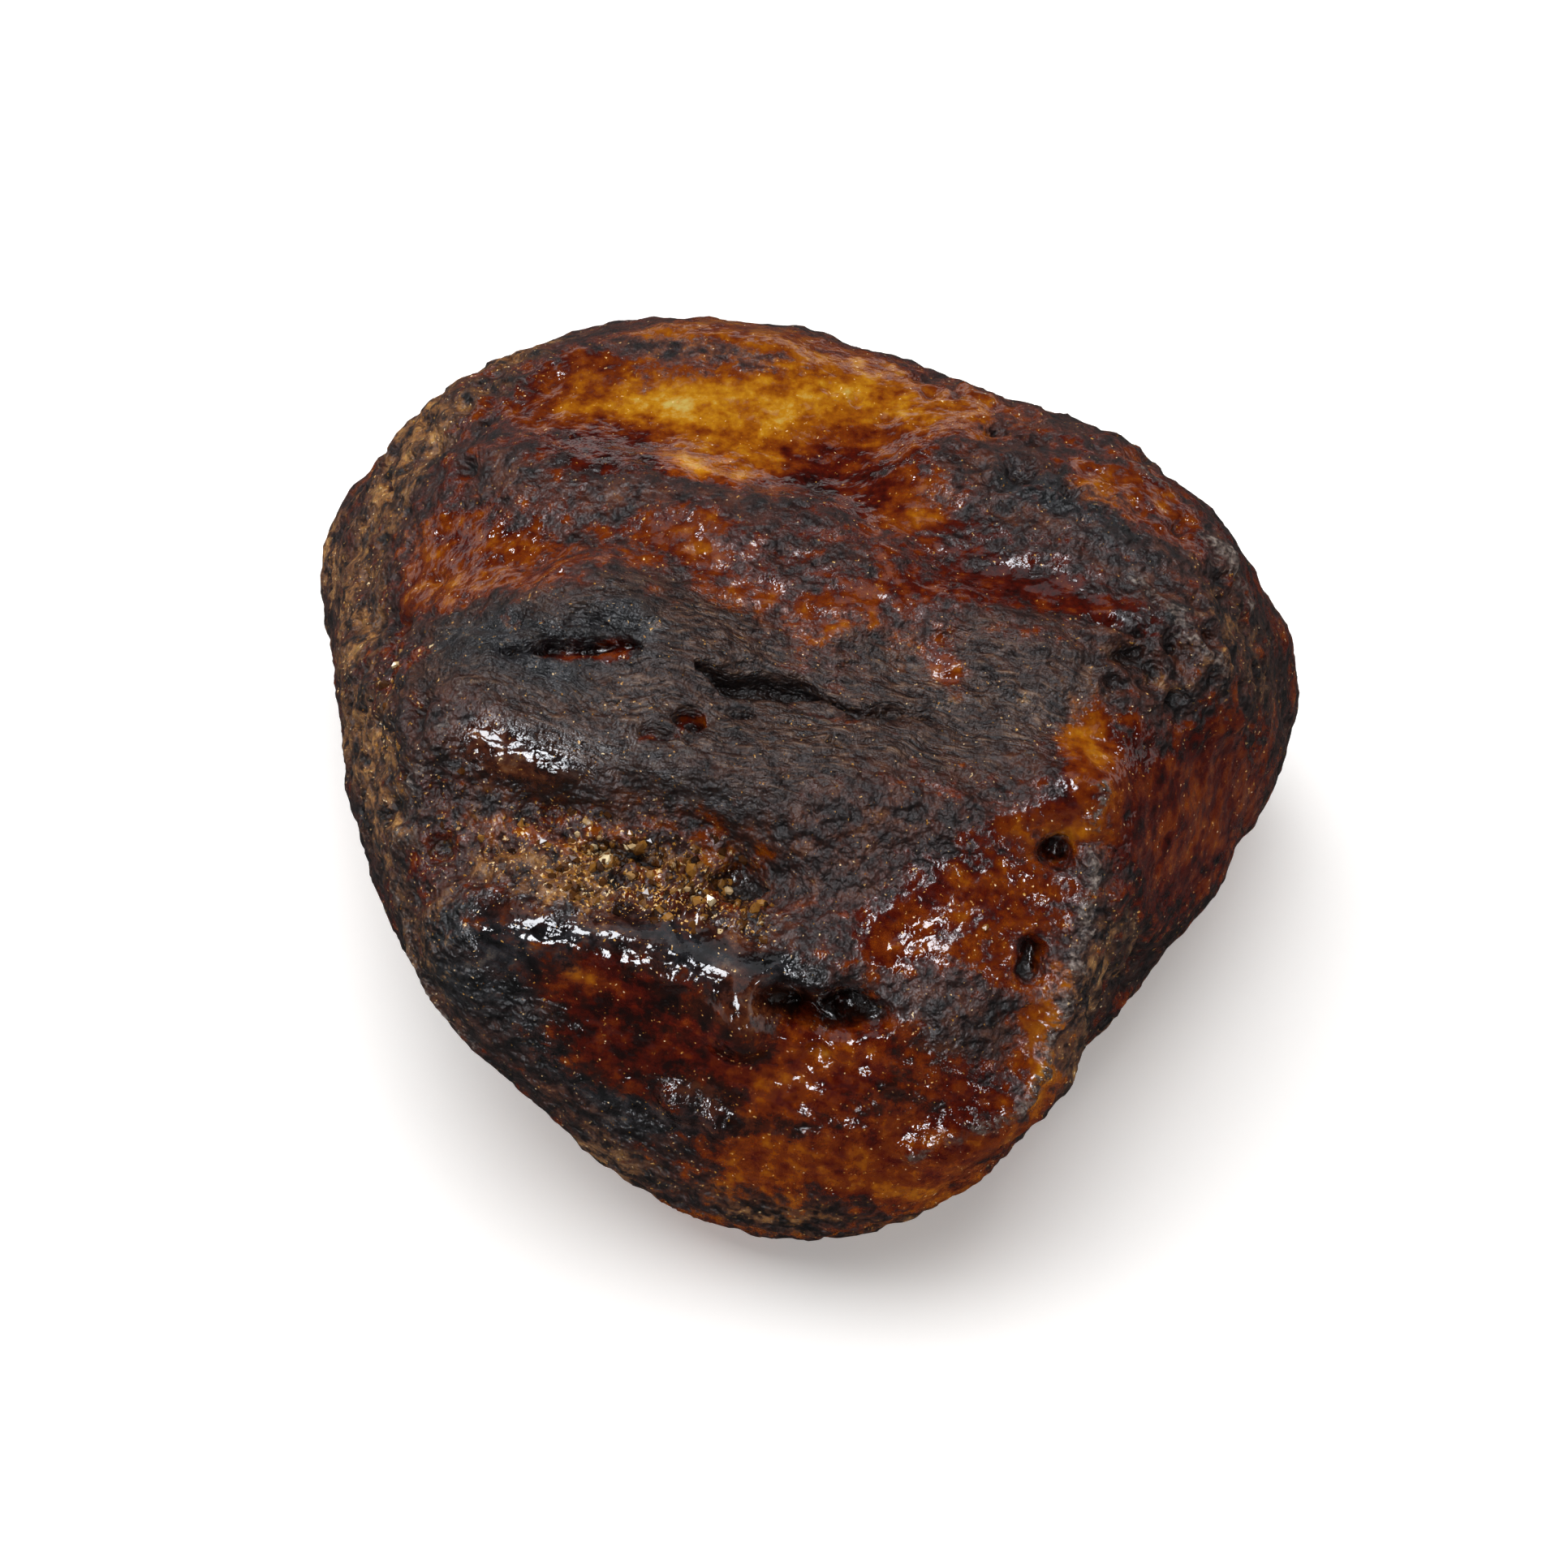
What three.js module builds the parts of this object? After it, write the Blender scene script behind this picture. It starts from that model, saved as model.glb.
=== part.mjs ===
// Raw amber piece: one lump of natural resin, worn round in water and still wearing its dark, weathered crust.
// It grew and wore as a single piece, so it is a single closed solid. Millimetres, +Z up.
// The origin is on the surface that it rests on, under the middle of its box. -Y is the front, +X the right.
import * as THREE from "three";
import { ImprovedNoise } from "three/addons/math/ImprovedNoise.js";

// ---- driving dimensions, in millimetres unless they say otherwise ----
const GRID_ROWS = 20; // triangles along each edge of the starting icosahedron
const CORNER_POWER = 7; // how sharply two worn faces meet: more is sharper
const REST_DROP = 14.6; // from the middle of the lump down to the flat that it rests on

// The worn faces that bound the lump: the way each one looks, in degrees (azimuth from +X towards +Y,
// and elevation), and how far it lies from the middle.
const WORN_FACES = [
  { name: "top", azimuth: 97, elevation: 86, reach: 15 },
  { name: "brow", azimuth: 268, elevation: 62, reach: 14.5 },
  { name: "front", azimuth: 264, elevation: 34, reach: 19 },
  { name: "chin", azimuth: 265, elevation: -19, reach: 26.2 },
  { name: "front left", azimuth: 242, elevation: 6, reach: 25.2 },
  { name: "left", azimuth: 183, elevation: 28, reach: 22.2 },
  { name: "left back", azimuth: 138, elevation: 36, reach: 30.1 },
  { name: "back", azimuth: 104, elevation: 26, reach: 29 },
  { name: "right back", azimuth: 63, elevation: 18, reach: 22 },
  { name: "right", azimuth: 8, elevation: 22, reach: 26.8 },
  { name: "front right", azimuth: 329, elevation: 10, reach: 20.7 },
  { name: "underside", azimuth: 0, elevation: -90, reach: 15.3 },
  { name: "under left", azimuth: 199, elevation: -39, reach: 20 },
  { name: "under back", azimuth: 81, elevation: -47, reach: 21.2 },
  { name: "under right", azimuth: 330, elevation: -47, reach: 18.8 },
];

// Ridges, folds and hollows: how far each stands out (below zero, how far it sinks), its width from crest to
// shoulder, and the points that its line passes, from the middle of the lump.
const RELIEF = [
  { name: "knuckle", rise: 1.8, width: 2.8,
    line: [[-17.5, -4.5, 10], [-14, -2.5, 12.5], [-10, -1, 13.5], [-7, -3, 13.3]] },
  { name: "brow crest", rise: 1.1, width: 2.6,
    line: [[-17, -6.5, 9.5], [-12, -7.5, 11.5], [-6, -9, 11.5], [0, -10.5, 10.5], [8, -11, 10],
           [12, -9.5, 10.5]] },
  { name: "shelf", rise: 1.6, width: 2.1,
    line: [[-17, -14, 4], [-14, -14.5, 6], [-9.5, -15.5, 6.3], [-4.5, -16.5, 5.5], [0, -18, 4.8]] },
  { name: "front hollow", rise: -2, width: 2.8,
    line: [[-13.5, -10.7, 9.3], [-8.5, -12.7, 8.6], [-3, -13.7, 8]] },
  { name: "right crest", rise: 1.2, width: 1.9,
    line: [[12.5, -9.5, 10], [14, -13, 6.5], [13.5, -15, 4], [12.5, -17, 1.3], [11.5, -19, -1.5],
           [8, -22, -2.5]] },
  { name: "waist", rise: -1.6, width: 2.6, line: [[16.5, -12, -2], [14.5, -15, -4], [12.5, -17.5, -8]] },
  { name: "right shoulder", rise: 1.1, width: 2,
    line: [[5.5, 9, 14], [10.5, 5.5, 14.3], [14.5, 2, 14.2], [18.5, -0.5, 12.3], [21, -2, 7.5]] },
  { name: "step", rise: 0.9, width: 2,
    line: [[2, -2, 13.8], [8, -2, 13.9], [14, -3.5, 13.4], [18.5, -3, 11.8]] },
  { name: "red furrow", rise: -0.9, width: 1.9, line: [[6, 2, 14.3], [12, 0.5, 14.2], [17, -0.5, 13.2]] },
  { name: "window sill", rise: 1, width: 2,
    line: [[-16.5, 10, 12], [-12, 8, 13.6], [-8, 6.5, 14.2], [-2, 3.5, 14.5], [4, 1.5, 14.1]] },
  { name: "bright basin", rise: -1.1, width: 4, line: [[-9, 12, 13.7], [-2.5, 11, 14.2], [2.5, 10, 14]] },
  { name: "left saddle", rise: -0.9, width: 2.8, line: [[-18, 4.5, 11], [-13, 3, 13.5]] },
  { name: "left edge", rise: 0.9, width: 1.9,
    line: [[-17, 16, 10], [-22, 17, 5], [-23.5, 12, 3], [-23, 5, 4.5], [-20.5, -2.5, 7]] },
  { name: "back band", rise: 0.8, width: 1.9, line: [[-11, 17, 12], [-6, 18.5, 12], [-1, 17, 13]] },
  { name: "back keel", rise: 1, width: 2.4, line: [[0, 22, 9], [-1, 25, 1], [2, 22, -8]] },
  { name: "back dent", rise: -1.4, width: 4.5, line: [[7, 20, 1], [13, 16, -2]] },
  { name: "left back dent", rise: -1.1, width: 4, line: [[-14, 21, 3], [-9, 23, -3]] },
];

// Slow unevenness of the whole surface: the length of one wave and how far it moves the surface.
const UNEVENNESS = [
  { wave: 15, height: 0.6 },
  { wave: 6, height: 0.3 },
];
const STRAY = { wave: 7, reach: 1.8 }; // how far the ridges and hollows wander off their lines

const toVector = (numbers) => new THREE.Vector3(...numbers);

const facing = WORN_FACES.map(({ azimuth, elevation, reach }) => {
  const polar = THREE.MathUtils.degToRad(90 - elevation);
  const around = THREE.MathUtils.degToRad(azimuth);
  const { x, y, z } = new THREE.Vector3().setFromSphericalCoords(1, polar, around);
  // three.js turns about +Y from +Z, and here the azimuth turns about +Z from +X
  return { normal: new THREE.Vector3(z, x, y), reach };
});

// Distance from the middle to the surface along a unit direction: the nearest worn face, corners rounded.
function reachAlong(direction) {
  const closeness = facing.map(({ normal, reach }) => Math.max(0, direction.dot(normal)) / reach);
  return closeness.reduce((sum, c) => sum + c ** CORNER_POWER, 0) ** (-1 / CORNER_POWER);
}

const noise = new ImprovedNoise();
const NOISE_STEP = 40; // far enough apart that two readings of the noise don't resemble each other
const waveAt = (point, wave, shift = 0) =>
  noise.noise(point.x / wave + shift, point.y / wave + shift, point.z / wave + shift);

// Each relief line as the straight spans between its points.
const carvings = RELIEF.map(({ rise, width, line }) => {
  const points = line.map(toVector);
  const spans = points.slice(1).map((end, i) => new THREE.Line3(points[i], end));
  return { rise, width, spans };
});

// How far the surface stands out or sinks at a point of the smooth lump.
function reliefAt(point) {
  const stray = new THREE.Vector3(
    waveAt(point, STRAY.wave, NOISE_STEP),
    waveAt(point, STRAY.wave, 2 * NOISE_STEP),
    waveAt(point, STRAY.wave, 3 * NOISE_STEP),
  );
  const strayed = point.clone().addScaledVector(stray, STRAY.reach);
  const nearest = new THREE.Vector3();
  let height = 0;
  for (const { rise, width, spans } of carvings) {
    const gaps = spans.map((span) => span.closestPointToPoint(strayed, true, nearest).distanceTo(strayed));
    const away = Math.min(...gaps);
    height += rise * Math.exp(-((away / width) ** 2));
  }
  for (const { wave, height: swing } of UNEVENNESS) height += swing * waveAt(point, wave);
  return height;
}

function lumpGeometry() {
  const geometry = new THREE.IcosahedronGeometry(1, GRID_ROWS - 1);
  geometry.deleteAttribute("uv");
  const position = geometry.getAttribute("position");
  const direction = new THREE.Vector3();
  for (let i = 0; i < position.count; i++) {
    direction.fromBufferAttribute(position, i).normalize();
    const point = direction.clone().multiplyScalar(reachAlong(direction));
    point.addScaledVector(direction, reliefAt(point));
    position.setXYZ(i, point.x, point.y, Math.max(point.z, -REST_DROP));
  }
  geometry.computeBoundingBox();
  const { min, max } = geometry.boundingBox;
  geometry.translate(-(min.x + max.x) / 2, -(min.y + max.y) / 2, REST_DROP);
  geometry.computeVertexNormals();
  return geometry;
}

const crustedAmber = new THREE.MeshStandardMaterial({ color: 0x4a2412, roughness: 0.35, metalness: 0 });
const amberPiece = new THREE.Mesh(lumpGeometry(), crustedAmber);
amberPiece.name = "amber_piece";

const part = new THREE.Group();
part.add(amberPiece);
export default part;
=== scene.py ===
"""A raw amber piece: a water-worn lump of old resin, half clear and half under its dark weathered crust.

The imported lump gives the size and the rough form. This script carves its fine surface (flow lines, slits,
pits, knobs and crests), marks where the crust is worn off, adds the golden grains and the spangles that are
sealed under the biggest window, and sets it on a pale floor.
"""

import math

import bmesh
import bpy
import numpy as np
from mathutils import Euler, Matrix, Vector, noise


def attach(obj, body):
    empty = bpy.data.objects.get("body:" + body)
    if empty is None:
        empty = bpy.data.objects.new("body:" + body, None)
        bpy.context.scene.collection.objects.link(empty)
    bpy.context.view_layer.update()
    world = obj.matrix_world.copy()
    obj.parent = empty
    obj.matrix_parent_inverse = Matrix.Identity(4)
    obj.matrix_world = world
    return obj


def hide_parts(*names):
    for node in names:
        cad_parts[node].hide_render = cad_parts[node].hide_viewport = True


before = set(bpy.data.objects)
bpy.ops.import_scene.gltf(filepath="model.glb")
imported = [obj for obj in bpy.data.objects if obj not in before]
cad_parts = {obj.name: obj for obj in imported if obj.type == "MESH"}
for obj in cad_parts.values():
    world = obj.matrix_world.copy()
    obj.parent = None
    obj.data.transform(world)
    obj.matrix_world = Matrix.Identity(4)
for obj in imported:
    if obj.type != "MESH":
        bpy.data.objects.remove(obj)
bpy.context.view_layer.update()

MM = 0.001
NODE = "amber_piece"
STRAY_SEED = 1795146248  # any whole number would do, and each gives other strays
noise.seed_set(STRAY_SEED)  # unset, it comes from the clock, and each run would stray differently

# ---- the flow of the old resin ----
# It ran mostly from left to right, dipping towards the front. Its lines are long this way and narrow across
# it.
FLOW_TURN = Euler((math.radians(8), math.radians(6), math.radians(-14)))

# ---- carved details ----
# Each one: how far it stands out in mm (below zero, how deep it is), its half width in mm, and the line that
# it follows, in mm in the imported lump's frame.
# A slit is widest half way along and comes to a point at both ends.
SLITS = {
    "upper knuckle slit": (-0.55, 0.3, [(-12.4, -4.1, 28.9), (-11.0, -4.4, 29.0), (-9.8, -4.7, 28.8)]),
    "lower knuckle slit": (-1.3, 0.54, [
        (-15.6, -5.5, 28.1), (-12.7, -5.5, 28.4), (-10.6, -5.5, 28.3), (-8.4, -5.8, 28.8)
    ]),
    "knuckle side nick": (-0.5, 0.3, [(-14.6, -4.6, 28.5), (-13.9, -3.8, 28.9), (-13.2, -3.3, 29.1)]),
    "long slit": (-1.5, 0.75, [
        (-5.8, -6.4, 28.6), (-3.9, -7.2, 27.9), (-2.2, -7.1, 27.6), (-0.6, -7.4, 27.4), (1.2, -8.0, 27.2)
    ]),
    "long slit end": (-0.8, 0.45, [
        (0.4, -7.7, 27.3), (2.4, -8.4, 27.1), (4.6, -8.6, 27.0), (6.4, -9.0, 26.8)
    ]),
    "brow nick": (-0.5, 0.26, [(-12.0, -7.4, 27.9), (-11.0, -7.8, 27.8), (-10.2, -8.0, 27.8)]),
    "brow hole": (-1.2, 0.7, [(-6.8, -9.0, 27.4), (-5.7, -9.2, 27.3), (-4.8, -9.4, 27.2)]),
    "brow low hole": (-0.8, 0.5, [(-8.5, -9.7, 27.2), (-7.5, -9.9, 27.1), (-6.4, -10.1, 27.1)]),
    "brow right nick": (-0.45, 0.28, [(-4.1, -8.6, 27.3), (-3.4, -8.7, 27.2), (-2.7, -8.8, 27.2)]),
    "brow dot": (-0.5, 0.4, [(-6.4, -10.2, 27.0), (-5.9, -10.3, 27.0), (-5.4, -10.3, 27.0)]),
    "brow end nick": (-0.5, 0.35, [(1.0, -10.2, 26.8), (2.2, -10.3, 26.7)]),
    "furrow end": (-0.7, 0.6, [(13.6, -3.3, 28.4), (15.4, -3.8, 28.2), (17.2, -4.3, 27.9)]),
    "crest groove": (-0.6, 0.4, [(14.6, -15.2, 21.8), (14.8, -16.2, 20.6), (14.6, -17.4, 19.2)]),
    "hollow split": (-1.0, 0.6, [(-11.2, -12.8, 22.5), (-9.2, -13.4, 22.3), (-6.9, -14.3, 21.9)]),
    "hollow end": (-1.2, 1.0, [(-5.2, -14.2, 21.7), (-3.6, -14.6, 21.4), (-2.0, -15.2, 21.2)]),
}
# Holes that are worn down to clear amber: how strongly, how far the amber reaches in mm, and the line.
LIT_FLOORS = {
    "lower knuckle slit": (0.75, 0.6, [(-12.9, -5.5, 28.0), (-9.2, -5.6, 28.2)]),
    "brow hole": (0.9, 0.6, [(-6.4, -9.1, 27.0), (-5.0, -9.3, 26.8)]),
    "brow low hole": (0.7, 0.45, [(-8.0, -9.8, 26.8), (-6.8, -10.0, 26.8)]),
    "cavity foot": (0.8, 0.9, [(-0.2, -22.2, 17.2), (1.4, -22.2, 17.1)]),
}
PITS = {
    "slit mouth": (-0.9, 0.45, [(-14.7, -5.6, 28.3)]),
    "front cavity": (-1.6, 1.3, [(-1.6, -20.9, 19.5), (0.2, -21.3, 19.0), (1.6, -21.0, 18.9)]),
    "front cavity heart": (-0.9, 0.9, [(-0.9, -21.4, 18.9), (0.3, -21.6, 18.6)]),
    "front cavity right": (-0.9, 0.8, [(2.4, -20.9, 18.9), (3.2, -21.0, 18.6)]),
    "front cavity foot": (-0.7, 0.7, [(0.2, -22.2, 17.3)]),
    "round pit": (-1.5, 0.95, [(12.1, -14.4, 23.4)]),
    "oval pit": (-1.3, 0.8, [(10.9, -18.2, 20.2), (10.8, -18.9, 19.3)]),
    "left upper pit": (-1.3, 1.1, [(-20.8, 0.4, 22.7)]),
    "left lower pit": (-1.2, 1.0, [(-19.5, -7.0, 26.3), (-19.2, -8.0, 25.6)]),
    "left edge pit": (-0.9, 0.8, [(-22.9, -0.7, 20.8)]),
    "left front pit": (-1.0, 0.8, [(-18.1, -12.8, 21.4)]),
    "right black pit": (-1.2, 1.1, [(16.0, -5.3, 27.6)]),
    "right black pit foot": (-1.0, 0.9, [(17.2, -5.9, 26.9)]),
    "right low pit": (-0.9, 0.8, [(18.3, -6.4, 25.4)]),
    "right small pit": (-0.7, 0.6, [(15.0, -6.6, 26.8)]),
    "right edge pit": (-0.8, 0.8, [(18.4, -4.6, 26.9)]),
    "upper right pit": (-0.9, 1.2, [(10.7, 5.2, 29.6)]),
    "sill notch": (-0.8, 0.9, [(-17.6, 8.2, 26.6)]),
}
KNOBS = {
    "glossy knob": (1.3, 1.7, [(-3.3, -21.2, 18.2)]),
    "low knob": (0.9, 1.0, [(-6.7, -22.4, 13.5)]),
    "low right knob": (0.5, 0.8, [(-4.4, -23.2, 12.8)]),
    "low side knob": (0.35, 0.7, [(-5.2, -22.8, 13.2)]),
    "red bead": (0.3, 0.6, [(-7.8, -20.6, 15.8)]),
}
CRESTS = {  # rounded ones, highest along their line and falling off on both sides
    "shelf edge": (0.4, 1.5, [
        (-16.2, -17.2, 20.0), (-13.8, -17.2, 21.2), (-11.0, -17.5, 21.2), (-7.8, -18.4, 20.8),
        (-4.6, -19.7, 20.1), (-2.6, -20.6, 19.8)
    ]),
    "knuckle crest": (0.3, 1.2, [
        (-17.8, -4.6, 26.6), (-15.6, -2.6, 28.0), (-12.2, -2.6, 29.2), (-8.6, -4.0, 29.3)
    ]),
}
# Thin fibrous ones that have dried pale, and the back rim, whose paleness is a painted reflection. The first
# number is the rise in mm, and also how pale the crest is.
PALE_CRESTS = {
    "pale crest": (0.6, 0.4, [
        (14.1, -12.4, 25.6), (13.8, -13.7, 24.0), (13.9, -14.9, 22.5), (13.3, -17.1, 20.4),
        (13.1, -18.8, 18.8), (12.2, -20.3, 17.0), (11.5, -21.7, 15.0), (10.0, -23.2, 13.9),
        (8.4, -23.9, 13.8), (5.1, -24.8, 12.3)
    ]),
    "shoulder ridge": (0.4, 0.4, [
        (16.2, -0.9, 28.4), (17.5, -2.5, 28.0), (18.7, -3.3, 27.6), (19.5, -4.1, 26.8),
        (20.4, -4.4, 25.0)
    ]),
    "edge ridge": (0.45, 0.5, [(19.6, 2.6, 27.1), (20.7, 2.3, 25.9), (21.9, 1.7, 23.5)]),
    "left ridge": (0.38, 0.45, [
        (-17.1, -7.3, 27.3), (-18.2, -8.9, 26.1), (-19.7, -9.6, 23.3), (-20.3, -11.6, 19.9)
    ]),
    "left low ridge": (0.4, 0.5, [
        (-20.6, -12.6, 17.9), (-19.2, -15.7, 16.1), (-18.3, -16.7, 14.0), (-16.4, -18.3, 12.8)
    ]),
    # painted reflection: beyond its small rise, the back rim is made pale for the white surroundings mirrored
    # along that edge
    "painted back rim reflection": (0.35, 0.5, [(6.0, 13.5, 27.0), (12.0, 9.5, 27.6), (17.0, 6.0, 27.4), (21.0, 2.6, 25.5)]),
}

# ---- what the surface is like from place to place ----
# Each patch: its strength, how far it reaches from its line in mm, and the line that it follows.
WORN_OFF = {  # above zero the crust is worn off and the amber shows, and below zero it lies thick
    "bright window": (1.1, 3.6, [
        (-12.4, 13.2, 27.4), (-6.0, 11.5, 27.8), (0.0, 10.2, 28.0), (4.5, 10.5, 28.0)
    ]),
    "bright window foot": (0.9, 2.4, [(-11.0, 7.6, 28.6), (-4.4, 7.0, 28.5), (1.5, 6.0, 28.6)]),
    "left orange": (1.0, 2.8, [(-19.0, 3.6, 24.8), (-16.2, 1.8, 26.7), (-13.2, 0.2, 28.0)]),
    "right small orange": (0.9, 1.6, [(4.0, 3.8, 28.8), (7.2, 3.0, 28.8)]),
    "top right orange": (0.8, 1.9, [(14.8, 5.4, 28.8), (17.6, 4.2, 28.0)]),
    "back orange": (0.9, 2.0, [(-4.5, 17.6, 27.2), (2.2, 14.8, 27.6), (8.0, 11.5, 28.4)]),
    "right face": (1.4, 3.6, [(16.1, -10.4, 24.1), (19.0, -8.5, 19.8), (22.3, -3.4, 15.5)]),
    "right face foot": (0.9, 2.6, [(17.6, -11.4, 18.2), (19.6, -9.0, 15.5)]),
    "red furrow": (0.9, 1.2, [(9.2, -1.0, 28.2), (13.4, -2.6, 28.3), (17.0, -3.6, 28.2)]),
    "low red": (0.6, 3.0, [
        (-8.6, -19.6, 18.9), (-11.2, -20.0, 16.8), (-8.0, -21.2, 15.6), (-5.4, -21.5, 16.3)
    ]),
    "front right orange": (0.95, 1.9, [(2.0, -19.2, 20.6), (4.5, -17.8, 21.2), (6.9, -16.9, 22.0)]),
    "mottled orange": (0.6, 3.0, [(9.0, -15.2, 22.9), (11.3, -16.6, 21.6), (9.6, -19.0, 19.4)]),
    "amber strip": (1.0, 1.2, [(13.7, -8.6, 26.6), (13.0, -12.0, 26.1), (12.4, -13.4, 24.6)]),
    "right low orange": (0.9, 1.3, [(12.0, -20.2, 17.2), (10.9, -22.2, 14.6)]),
    "cavity lip": (1.0, 1.0, [(-2.0, -22.7, 15.2), (0.5, -22.7, 15.9), (2.6, -22.4, 16.9)]),
    "bottom amber": (1.0, 2.7, [
        (-1.6, -24.6, 11.4), (2.0, -24.8, 10.9), (6.0, -24.4, 11.4), (9.0, -23.2, 12.6)
    ]),
    "middle glimpses": (0.55, 1.6, [(-4.4, -2.2, 29.1), (1.7, -2.9, 28.9), (8.1, -2.4, 28.2)]),
    "middle band": (0.35, 2.6, [(-6.0, 0.6, 29.2), (0.0, 0.4, 28.9), (8.2, 0.4, 28.3), (14.0, 0.4, 28.8)]),
    "brow glimpse": (1.3, 0.8, [(6.8, -5.4, 27.9), (7.0, -6.4, 27.5)]),
    "left glimpse": (0.7, 1.3, [(-7.6, 1.9, 29.4), (-5.4, 1.4, 29.2)]),
    "small dot": (1.7, 0.6, [(-10.8, -18.6, 20.5), (-9.8, -18.9, 20.3)]),
    "slit floor": (0.9, 0.6, [(-12.2, -5.4, 28.4), (-9.2, -5.5, 28.7)]),
    "hollow glow": (0.15, 2.0, [(-14.8, -12.6, 22.6), (-10.0, -13.0, 22.4), (-4.4, -14.4, 21.5)]),
    "sill crust": (-0.38, 1.6, [
        (-16.5, 6.6, 27.6), (-10.0, 4.6, 29.2), (-4.0, 3.0, 29.6), (2.5, 0.6, 29.0)
    ]),
    "band crust": (-0.56, 1.0, [(-9.4, 16.6, 27.3), (-5.7, 15.4, 27.8), (-1.8, 14.0, 28.1)]),
    "knuckle crust": (-0.87, 2.6, [
        (-17.6, -3.6, 26.7), (-13.4, -5.0, 28.5), (-9.0, -4.8, 29.2), (-5.4, -5.6, 28.9)
    ]),
    "brow crust": (-0.81, 3.2, [
        (-12.0, -8.6, 27.0), (-5.0, -9.6, 27.0), (2.0, -9.4, 26.9), (8.0, -8.4, 26.8), (12.2, -7.6, 26.8)
    ]),
    "under brow crust": (-0.62, 1.8, [
        (-15.8, -10.3, 25.3), (-9.0, -11.4, 25.8), (0.0, -13.8, 24.4), (8.0, -12.8, 25.0)
    ]),
    "shelf crust": (-0.81, 1.5, [
        (-17.0, -17.2, 18.8), (-13.0, -17.2, 21.2), (-7.0, -18.2, 20.9), (-2.0, -20.2, 20.0),
        (2.1, -19.8, 20.2)
    ]),
    "low left crust": (-0.62, 2.6, [(-18.0, -16.6, 17.6), (-15.0, -19.0, 16.0), (-11.8, -21.6, 12.6)]),
    "low crust": (-0.62, 1.4, [(-9.0, -22.4, 12.6), (-4.4, -22.9, 13.4), (-0.6, -23.6, 13.2)]),
    "front crust": (-0.5, 2.2, [
        (-1.5, -17.0, 21.6), (1.5, -15.6, 23.0), (4.5, -20.0, 19.6), (8.6, -20.6, 18.4)
    ]),
    "right pits crust": (-0.62, 2.2, [(15.6, -4.9, 27.4), (17.6, -6.6, 25.8), (20.6, -4.6, 25.2)]),
    "upper right crust": (-0.5, 1.8, [
        (8.0, 4.6, 29.5), (12.0, 4.2, 29.8), (14.6, 1.6, 29.2), (17.5, -0.5, 28.4)
    ]),
    "pale crest crust": (-0.5, 0.7, [
        (14.2, -14.2, 23.2), (14.1, -16.5, 20.8), (12.8, -20.0, 16.9), (10.1, -23.0, 14.1)
    ]),
}
HONEY = {  # the colour of the amber: 0 is the deepest red, 1 the palest yellow
    # Partly painted glow: the big window, its core and the blotch in it are made paler towards the middle. On
    # top of the amber's own colour, this stands in for light that comes through from behind and off the
    # spangles under it.
    "bright window": (0.4, 3.4, [(-11.5, 12.5, 27.6), (-4.0, 10.5, 28.0), (-0.6, 10.6, 28.0)]),
    "painted glow core": (0.36, 1.7, [(-7.4, 12.2, 27.8), (-3.4, 10.6, 28.0)]),
    "painted glow blotch": (0.65, 1.3, [(-5.4, 6.8, 28.5), (-3.4, 6.4, 28.5)]),
    "window right": (0.2, 3.0, [(2.4, 10.4, 28.2), (6.5, 8.6, 28.8)]),
    "middle": (0.22, 3.6, [(-4.0, -3.4, 28.9), (7.0, -5.0, 28.2)]),
    "left orange": (0.32, 3.2, [(-19.5, 3.6, 24.8), (-13.2, 0.2, 28.0)]),
    "right small orange": (0.36, 2.2, [(5.4, 3.4, 28.8)]),
    "top right orange": (0.3, 2.6, [(14.8, 5.4, 28.8), (17.6, 4.2, 28.0)]),
    "back orange": (0.4, 3.2, [(-4.5, 17.6, 27.2), (2.2, 14.8, 27.6), (8.0, 11.5, 28.4)]),
    "right face": (0.2, 4.4, [(18.0, -9.5, 20.0), (22.3, -3.4, 15.5)]),
    "front right orange": (0.12, 2.6, [(2.0, -19.2, 20.6), (6.9, -16.9, 22.0)]),
    "mottled orange": (0.16, 3.6, [(9.0, -15.2, 22.9), (11.3, -16.6, 21.6), (9.6, -19.0, 19.4)]),
    "amber strip": (0.42, 1.7, [(13.7, -8.6, 26.6), (12.4, -13.4, 24.6)]),
    "small dot": (0.45, 0.7, [(-10.8, -18.6, 20.5), (-9.8, -18.9, 20.3)]),
    "right low orange": (0.3, 2.0, [(12.0, -20.2, 17.2), (10.9, -22.2, 14.6)]),
    "cavity lip": (0.24, 1.3, [(-2.0, -22.7, 15.2), (2.6, -22.4, 16.9)]),
    "bottom amber": (0.26, 4.0, [(-2.0, -24.6, 10.8), (6.0, -24.4, 11.4), (9.0, -23.2, 12.6)]),
    "left glimpse": (0.34, 1.6, [(-7.6, 1.9, 29.4), (-5.4, 1.4, 29.2)]),
    "hollow glow": (0.25, 3.0, [(-14.8, -12.6, 22.6), (-4.4, -14.4, 21.5)]),
}
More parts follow.
